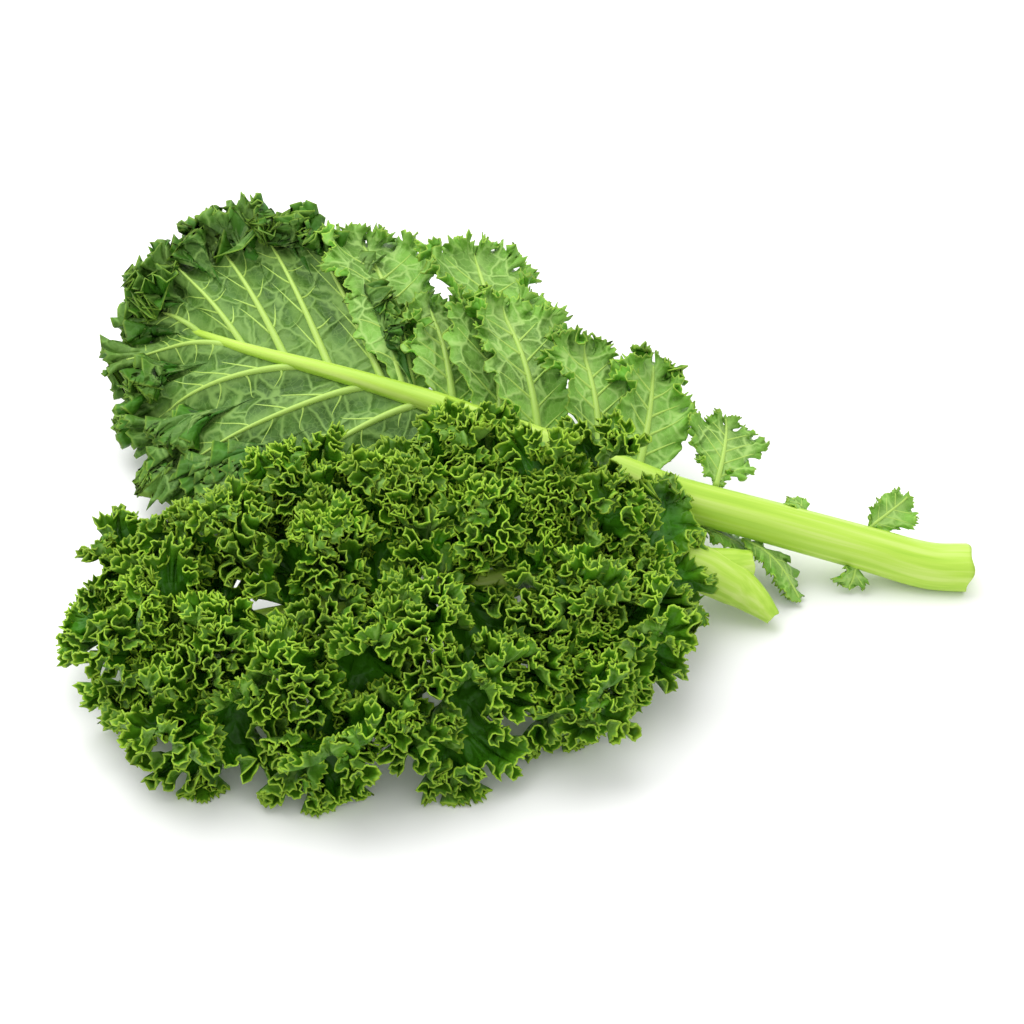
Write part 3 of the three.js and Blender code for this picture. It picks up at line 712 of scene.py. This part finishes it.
def value_node(nodes, label):
    """One of the values that each vertex carries."""
    node = nodes.new("ShaderNodeAttribute")
    node.attribute_name = label
    return node.outputs["Fac"]


def ramp(nodes, links, source, stops):
    """Colour by value: stops are pairs of a value and its colour."""
    node = nodes.new("ShaderNodeValToRGB")
    elements = node.color_ramp.elements
    while len(elements) < len(stops):
        elements.new(0.5)
    for element, (place, colour) in zip(elements, stops):
        element.position = place
        element.color = (*colour, 1)
    links.new(source, node.inputs["Fac"])
    return node.outputs["Color"]


def mix(nodes, links, factor, a, b):
    """Colour between a and b."""
    node = nodes.new("ShaderNodeMix")
    node.data_type = "RGBA"
    for socket, value in ((node.inputs["Factor"], factor), (node.inputs["A"], a), (node.inputs["B"], b)):
        if hasattr(value, "is_output"):
            links.new(value, socket)
        elif isinstance(value, tuple):
            socket.default_value = (*value, 1)
        else:
            socket.default_value = value
    return node.outputs["Result"]


def map_range(nodes, links, source, low, high, to_low=0.0, to_high=1.0):
    """Value brought softly from the range low to high to another one."""
    node = nodes.new("ShaderNodeMapRange")
    node.interpolation_type = "SMOOTHSTEP"
    for label, value in (("From Min", low), ("From Max", high), ("To Min", to_low), ("To Max", to_high)):
        node.inputs[label].default_value = value
    links.new(source, node.inputs["Value"])
    return node.outputs["Result"]


PATCH_SCALE = 60
BEND_SCALE, BEND_REACH = 160, 0.004
# Nets of veins: scale, width of a vein in its cell, and strength
NETS = (("Veins", 105, 0.085, 0.8), ("Fine Veins", 420, 0.1, 0.28))
SWELL_WIDTH = 0.25


def leaf_pattern():
    """Shared patterns of a leaf: cloudy patches, two nets of veins, and the swell between veins."""
    group = bpy.data.node_groups.new("leaf_pattern", "ShaderNodeTree")
    for label in ("Patches", "Veins", "Fine Veins", "Swell"):
        group.interface.new_socket(name=label, in_out="OUTPUT", socket_type="NodeSocketFloat")
    nodes, links = group.nodes, group.links
    out = nodes.new("NodeGroupOutput")
    place = nodes.new("ShaderNodeTexCoord").outputs["Object"]
    patches = nodes.new("ShaderNodeTexNoise")
    patches.inputs["Scale"].default_value = PATCH_SCALE
    patches.inputs["Detail"].default_value = 4
    links.new(place, patches.inputs["Vector"])
    links.new(patches.outputs["Fac"], out.inputs["Patches"])
    bend = nodes.new("ShaderNodeTexNoise")
    bend.inputs["Scale"].default_value = BEND_SCALE
    links.new(place, bend.inputs["Vector"])
    shifted = nodes.new("ShaderNodeVectorMath")
    shifted.operation = "MULTIPLY_ADD"
    links.new(bend.outputs["Color"], shifted.inputs[0])
    shifted.inputs[1].default_value = (BEND_REACH,) * 3
    links.new(place, shifted.inputs[2])
    for label, scale, width, strength in NETS:
        net = nodes.new("ShaderNodeTexVoronoi")
        net.feature = "DISTANCE_TO_EDGE"
        net.inputs["Scale"].default_value = scale
        links.new(shifted.outputs["Vector"], net.inputs["Vector"])
        distance = net.outputs["Distance"]
        links.new(map_range(nodes, links, distance, 0.0, width, strength, 0), out.inputs[label])
        if label == "Veins":
            links.new(map_range(nodes, links, distance, 0.0, SWELL_WIDTH, 1, 0), out.inputs["Swell"])
    return group


def times(colour, factor):
    """Colour made lighter or darker."""
    return tuple(factor * c for c in colour)


# Darkest and lightest patches of a leaf's colour, as shares of it, and where one passes into the other
UPPER_PATCHES, UNDER_PATCHES, RIM_PATCHES = (0.6, 1.45), (0.62, 1.28), (0.62, 1)
PATCH_EDGES = (0.33, 0.67)
# Bands of a leaf: from and to a distance in mm, and the strength at its start
RIB_BAND = (0.5, 4.5, 0.5)
YOUNG_BAND = (0.4, 6.0, 0.45)
RIM_BAND = (0.05, 0.55, 1)
LOBE_TINT = 0.25


def leaf_material(name, upper, under, rim, vein, rough):
    """Two-sided leaf colour with a pale rim, patches, and a net of veins that shows on the underside."""
    material, nodes, links, shader = principled(name, rough)
    edge = value_node(nodes, "edge_mm")
    rib = value_node(nodes, "rib_mm")
    side = value_node(nodes, "upper_side")
    lobe = value_node(nodes, "lobe_draw")
    pattern = nodes.new("ShaderNodeGroup")
    pattern.node_tree = LEAF_PATTERN
    patches = map_range(nodes, links, pattern.outputs["Patches"], *PATCH_EDGES)
    upper_colour, under_colour, rim_colour = (
        mix(nodes, links, patches, times(plain, darkest), times(plain, lightest))
        for plain, (darkest, lightest) in ((upper, UPPER_PATCHES), (under, UNDER_PATCHES), (rim, RIM_PATCHES))
    )
    under_colour = mix(nodes, links, map_range(nodes, links, rib, *RIB_BAND, 0), under_colour, vein)
    under_colour = mix(nodes, links, pattern.outputs["Veins"], under_colour, vein)
    under_colour = mix(nodes, links, pattern.outputs["Fine Veins"], under_colour, vein)
    colour = mix(nodes, links, side, under_colour, upper_colour)
    tint = map_range(nodes, links, lobe, 0, 1, 0.0, LOBE_TINT)
    colour = mix(nodes, links, tint, colour, tuple(0.6 * (a + b) for a, b in zip(upper, under)))
    young = map_range(nodes, links, edge, *YOUNG_BAND, 0)
    colour = mix(nodes, links, young, colour, tuple(0.3 * a + 0.9 * b for a, b in zip(rim, upper)))
    colour = mix(nodes, links, map_range(nodes, links, edge, *RIM_BAND, 0), colour, rim_colour)
    links.new(colour, shader.inputs["Base Color"])
    bump = nodes.new("ShaderNodeBump")
    bump.inputs["Strength"].default_value = 0.7
    bump.inputs["Distance"].default_value = 0.0012
    links.new(pattern.outputs["Swell"], bump.inputs["Height"])
    links.new(bump.outputs["Normal"], shader.inputs["Normal"])
    shader.inputs["Specular IOR Level"].default_value = 0.22
    return material


def stalk_material(name, dark, middle, light):
    """Pale green with fine streaks along the stalk."""
    material, nodes, links, shader = principled(name, 0.34)
    straight = nodes.new("ShaderNodeCombineXYZ")
    for axis, label in (("X", "along_mm"), ("Y", "round_x_mm"), ("Z", "round_y_mm")):
        links.new(value_node(nodes, label), straight.inputs[axis])
    stretch = nodes.new("ShaderNodeMapping")
    stretch.inputs["Scale"].default_value = (0.012, 0.42, 0.42)
    links.new(straight.outputs["Vector"], stretch.inputs["Vector"])
    streaks = nodes.new("ShaderNodeTexNoise")
    streaks.inputs["Scale"].default_value = 1
    streaks.inputs["Detail"].default_value = 3
    links.new(stretch.outputs["Vector"], streaks.inputs["Vector"])
    colour = ramp(nodes, links, streaks.outputs["Fac"], ((0.32, dark), (0.5, middle), (0.68, light)))
    links.new(colour, shader.inputs["Base Color"])
    bump = nodes.new("ShaderNodeBump")
    bump.inputs["Strength"].default_value = 0.15
    bump.inputs["Distance"].default_value = 0.0004
    links.new(streaks.outputs["Fac"], bump.inputs["Height"])
    links.new(bump.outputs["Normal"], shader.inputs["Normal"])
    shader.inputs["Specular IOR Level"].default_value = 0.3
    return material


RIM_GREEN = (0.37, 0.61, 0.04)
VEIN_GREEN = (0.26, 0.43, 0.1)
LEAF_PATTERN = leaf_pattern()
FRILL_GREEN = leaf_material("kale_frill", (0.034, 0.155, 0.003), (0.065, 0.19, 0.015),
                            RIM_GREEN, VEIN_GREEN, 0.4)
UNDERSIDE_GREEN = leaf_material("kale_underside", (0.032, 0.14, 0.006), (0.072, 0.158, 0.024),
                                (0.2, 0.37, 0.035), VEIN_GREEN, 0.48)
LOBE_GREEN = leaf_material("kale_lobe_underside", (0.08, 0.28, 0.012), (0.19, 0.385, 0.062),
                           (0.33, 0.56, 0.06), (0.42, 0.63, 0.18), 0.48)
STALK_GREEN = stalk_material("kale_stalk", (0.34, 0.57, 0.045), (0.43, 0.65, 0.072), (0.53, 0.7, 0.155))
RIB_GREEN = stalk_material("kale_rib", (0.35, 0.55, 0.09), (0.4, 0.6, 0.115), (0.46, 0.65, 0.16))


def placed(mesh, name, material, slot, *nodes):
    """Builds a piece, and says what it rides on and which of the part's nodes it replaces."""
    piece = mesh.build(name, material)
    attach(piece, "root")
    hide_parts(*nodes)


def lobes_piece(name, specs, frill, is_back, material, slot, *nodes):
    """One piece made of several lobes."""
    mesh = Mesh()
    made = [lobe_sheet(spec, frill, is_back, mesh) for spec in specs]
    placed(mesh, name, material, slot, *nodes)
    return made


front_specs = lobe_specs(FRONT_STALK, FRONT_FACE, FRONT_LOBES, FRONT_SEED)
inner = inner_specs([spec for i, spec in enumerate(front_specs) if i not in (STALK_LOBE, OPEN_LOBE)])
back_specs = [
    {**spec, "widest": 0.72, "waist": 0.95 if i == WIDE_LOBE else 1.5, "notch": 0.15,
     "calm": (0.4, 0.75)}
    for i, spec in enumerate(lobe_specs(BACK_STALK, BACK_FACE, BACK_LOBES, BACK_SEED))
]
for name, specs, frill in (
    ("front_leaf_far_lobes", front_specs[STALK_LOBE + 1:OPEN_LOBE], FRONT_FRILL),
    ("front_leaf_open_lobes", [front_specs[STALK_LOBE], front_specs[OPEN_LOBE]], OPEN_FRILL),
    ("front_leaf_near_lobes", front_specs[OPEN_LOBE + 1:], FRONT_FRILL),
    ("front_leaf_inner_frills_1", inner[0::3], INNER_FRILL),
    ("front_leaf_inner_frills_2", inner[1::3], INNER_FRILL),
    ("front_leaf_inner_frills_3", inner[2::3], INNER_FRILL),
):
    lobes_piece(name, specs, frill, False, FRILL_GREEN, "frill_green", "front_leaf_blade")
back_lobes = lobes_piece("back_leaf_side_lobes", back_specs, BACK_FRILL, True, LOBE_GREEN, "underside_green",
                         "back_leaf_blade")
fan_mesh = Mesh()
fan = fan_sheet(fan_mesh)
placed(fan_mesh, "back_leaf_end_blade", UNDERSIDE_GREEN, "underside_green", "back_leaf_blade")

leaflet_specs = []
for i, (x, y, z, tip_x, tip_y, tip_z, rise, half_width, curl) in enumerate(LEAFLETS):
    leaflet_specs.append({
        "foot": np.array([x, y, z], float), "tip": np.array([tip_x, tip_y, tip_z], float), "face": BACK_FACE,
        "rise": rise, "half_width": half_width, "curl": math.radians(curl), "seed": LEAFLET_SEED + i,
        "widest": 0.74, "waist": 2.2, "notch": 0.2, "frill_share": min(1.3, half_width / 9),
    })
leaflets = [
    lobes_piece(f"leaflet_{i + 1}", [spec], LEAFLET_FRILL, True, LOBE_GREEN, "underside_green",
                f"back_leaflet_{i + 1}")[0]
    for i, spec in enumerate(leaflet_specs)
]

# Raised ribs and veins on the back leaf's underside, with their radii, how far they stand off the sheet's
# middle, and how far they run towards the edge
LONG_RIB = 60
LONG_RIB_RADIUS, SHORT_RIB_RADIUS, RIB_TIP_RADIUS = 1.7, 1.35, 0.35
VEIN_RADIUS, VEIN_TIP_RADIUS = 0.75, 0.15
RIB_LIFT, VEIN_LIFT = 0.2, 0.1
RIB_END, VEIN_END = 0.86, 0.93
VEINS_A_SIDE = 4
SIDE_LOBE_RIB = (2.0, 5)
LEAFLET_RIBS = ((1.2, 4), (0.4, 1), (0.7, 3), (0.5, 2), (0.8, 3), (0.6, 3))
LOBE_VEIN_SHARE = 0.34  # of a lobe's vein, over its rib's radius
LOBE_RIB_END = 0.8
ribs = Mesh(())


def side_rib(path, thick, thin, sides):
    """Raised rib that thins out along its path."""
    share = np.linspace(0, 1, len(path))
    tube(path, thick + (thin - thick) * share ** 0.8, sides, ribs)


def fan_ribs():
    """Side ribs of the end blade, with veins on both sides."""
    for k in range(1, len(BACK_FAN) - 1):
        share = np.linspace(0, RIB_END, 36)
        path = on_sheet(fan, np.full(36, float(k)), share, RIB_LIFT)
        column = int(np.interp(k, fan["place"], np.arange(len(fan["place"]))))
        start = path[0] + unit(path[0] - path[4]) * 1.5 + np.array([0, 0, 0.8])
        path = np.vstack([start, path[1:]])
        thick = LONG_RIB_RADIUS if fan["ray"][column] > LONG_RIB else SHORT_RIB_RADIUS
        side_rib(path, thick, RIB_TIP_RADIUS, 10)
        for n in range(1, VEINS_A_SIDE + 1):
            for side in (-1, 1):
                a, b = float(draw(k * 9.1 + n + side)), float(draw(k * 4.7 + n * 3 + side))
                v = 0.17 * n - 0.07 + (0.08 if side > 0 else 0) + 0.05 * a
                out = np.linspace(0, 1, 16)
                share = v + (0.16 + 0.16 * b) * out ** 1.3
                if share[-1] > VEIN_END:
                    continue
                place = k + side * (0.38 + 0.16 * a) * out ** 0.8
                place = np.clip(place, 0.02, len(BACK_FAN) - 1.02)
                vein = on_sheet(fan, place, share, VEIN_LIFT)
                side_rib(vein, VEIN_RADIUS - 0.1 * n, VEIN_TIP_RADIUS, 5)


def lobe_ribs(made, thick, veins):
    """A lobe's rib, with veins on both sides."""
    inside = made["rib"](np.linspace(0, LAST_FOOT, 22))
    normal = unit(made["normals"][0, len(made["place"]) // 2])
    beyond = on_sheet(made, np.zeros(12), np.linspace(0.08, LOBE_RIB_END, 12), RIB_LIFT)
    path = np.vstack([inside - normal * 0.4, beyond])
    side_rib(path, thick, 0.3, 10)
    place, start = made["place"], made["start"]
    for side in (-1, 1):
        half = place * side > 0
        order = np.argsort(start[half])
        for n in range(1, veins + 1):
            wanted = made["length"] * LAST_FOOT * (n - (0.35 if side > 0 else 0)) / (veins + 0.6)
            here = np.interp(wanted, start[half][order], place[half][order])
            vein = on_sheet(made, np.full(12, here), np.linspace(0, LOBE_RIB_END, 12), 0.12)
            side_rib(vein, LOBE_VEIN_SHARE * thick, 0.2, 6)


fan_ribs()
for made in back_lobes:
    lobe_ribs(made, *SIDE_LOBE_RIB)
for made, sizes in zip(leaflets, LEAFLET_RIBS):
    lobe_ribs(made, *sizes)
placed(ribs, "back_leaf_ribs", RIB_GREEN, "stalk_green", "back_leaf_blade")


# Grooves round a stalk: how many, their depth as a share of the radius, and where they start
GROOVES = ((5, 0.014, 1.3), (9, 0.005, 0))


def stalk_piece(name, node, lines, end_seed):
    """Round stalks with shallow grooves along them and rough cut ends."""
    mesh = Mesh(STALK_VALUES)
    for n, one in enumerate(lines):
        stations, sides = (160 if n == 0 else 40), 40
        point, tangent, radius = line_at(one, np.linspace(0, 1, stations))
        reference = np.array([0.0, 0.0, 1.0])
        side = unit(np.cross(tangent, reference))
        over = np.cross(side, tangent)
        angle = np.arange(sides) / sides * 2 * np.pi
        along = np.linspace(0, 1, stations)[:, None]
        groove = np.ones((1, sides))
        for folds, depth, start in GROOVES:
            groove = groove + depth * np.sin(folds * angle + start)[None]
        groove = groove + 0.008 * drift(along * 200, end_seed, 90)
        ring = (side[:, None] * np.cos(angle)[None, :, None] + over[:, None] * np.sin(angle)[None, :, None])
        points = point[:, None] + ring * (radius[:, None] * groove)[..., None]
        points[..., 2] = np.maximum(points[..., 2], 0)
        ragged = radius[0] * (0.11 * np.sin(angle * 2 + end_seed) + 0.06 * np.sin(angle * 5 + 1))
        points[0] = points[0] - tangent[0] * ragged[:, None]
        rings = [points[0] * w + point[0] * (1 - w) + tangent[0] * (0.8 * (1 - w))
                 for w in (0.35, 0.7, 0.92)]
        points = np.vstack([point[0][None] + tangent[0] * 0.9] + rings + [points.reshape(-1, 3)]
                           + [point[-1][None] + tangent[-1] * 0.5 * radius[-1]])
        count = stations + 3
        i, k = np.meshgrid(np.arange(count - 1), np.arange(sides), indexing="ij")
        a, b = 1 + (i * sides + k).ravel(), 1 + (i * sides + (k + 1) % sides).ravel()
        c, d = a + sides, b + sides
        k = np.arange(sides)
        faces = [np.stack([a, b, d], 1), np.stack([a, d, c], 1),
                 np.stack([1 + (k + 1) % sides, 1 + k, np.zeros(sides, int)], 1)]
        tail = 1 + (count - 1) * sides
        faces.append(np.stack([tail + k, tail + (k + 1) % sides, np.full(sides, len(points) - 1)], 1))
        faces = np.vstack(faces)
        corner = points[faces] - points.mean(axis=0)
        if np.einsum("ij,ij->i", corner[:, 0], np.cross(corner[:, 1], corner[:, 2])).sum() < 0:
            faces = faces[:, ::-1]
        run = np.linalg.norm(np.diff(point, axis=0), axis=1).sum() * np.linspace(0, 1, stations)
        run = np.concatenate([np.zeros(3), run])[:, None] + 0 * angle
        round_x = np.concatenate([[radius[0]] * 3, radius])[:, None] * np.cos(angle)
        round_y = np.concatenate([[radius[0]] * 3, radius])[:, None] * np.sin(angle)
        values = np.stack([round_x, round_y, run], -1).reshape(-1, 3)
        mesh.add(points, faces, np.vstack([values[:1] * 0, values, values[-1:]]))
    placed(mesh, name, STALK_GREEN, "stalk_green", node)


stalk_piece("back_stalk", "back_leaf_stalk", [BACK_STALK], 3)
stalk_piece("front_stalk", "front_leaf_stalk", [FRONT_STALK, FRONT_HEEL[::-1]], 5)

# Floor
bpy.ops.mesh.primitive_plane_add(size=8)
floor = bpy.context.object
floor.name = "floor"
floor_material, _, _, floor_shader = principled("floor_white", 0.6)
floor_shader.inputs["Base Color"].default_value = (0.92, 0.92, 0.92, 1)
floor.data.materials.append(floor_material)

# Camera, 40 degrees above the table and in front of the bunch; lengths in mm
ELEVATION = math.radians(40)
DISTANCE = 880
FOCAL_PIXELS = 2500
IMAGE_PIXELS = 1024
SENSOR_WIDTH = 36
TARGET = np.array([0, 0, 26])
TARGET_ROW = 505
sight = np.array([0, math.cos(ELEVATION), -math.sin(ELEVATION)])
camera_data = bpy.data.cameras.new("camera")
camera = bpy.data.objects.new("camera", camera_data)
bpy.context.scene.collection.objects.link(camera)
camera.location = (TARGET - DISTANCE * sight - MIDDLE) * MILLIMETRE
camera.rotation_euler = (math.pi / 2 - ELEVATION, 0, 0)
camera_data.sensor_width = SENSOR_WIDTH
camera_data.lens = SENSOR_WIDTH * FOCAL_PIXELS / IMAGE_PIXELS
camera_data.shift_y = (TARGET_ROW - IMAGE_PIXELS / 2) / IMAGE_PIXELS
bpy.context.scene.camera = camera
bpy.context.scene.view_settings.view_transform = "Standard"

# Light: a bright white sky and one large soft lamp behind the bunch, on its left
world = bpy.data.worlds.new("studio")
world.use_nodes = True
world.node_tree.nodes["Background"].inputs["Color"].default_value = (1, 1, 1, 1)
world.node_tree.nodes["Background"].inputs["Strength"].default_value = 1.0
bpy.context.scene.world = world
lamp_data = bpy.data.lights.new("softbox", "AREA")
lamp_data.size = 1.5
lamp_data.energy = 17
lamp = bpy.data.objects.new("softbox", lamp_data)
bpy.context.scene.collection.objects.link(lamp)
lamp.location = (-0.45, 0.45, 1.25)
lamp.rotation_euler = (math.radians(-19), math.radians(-19), 0)
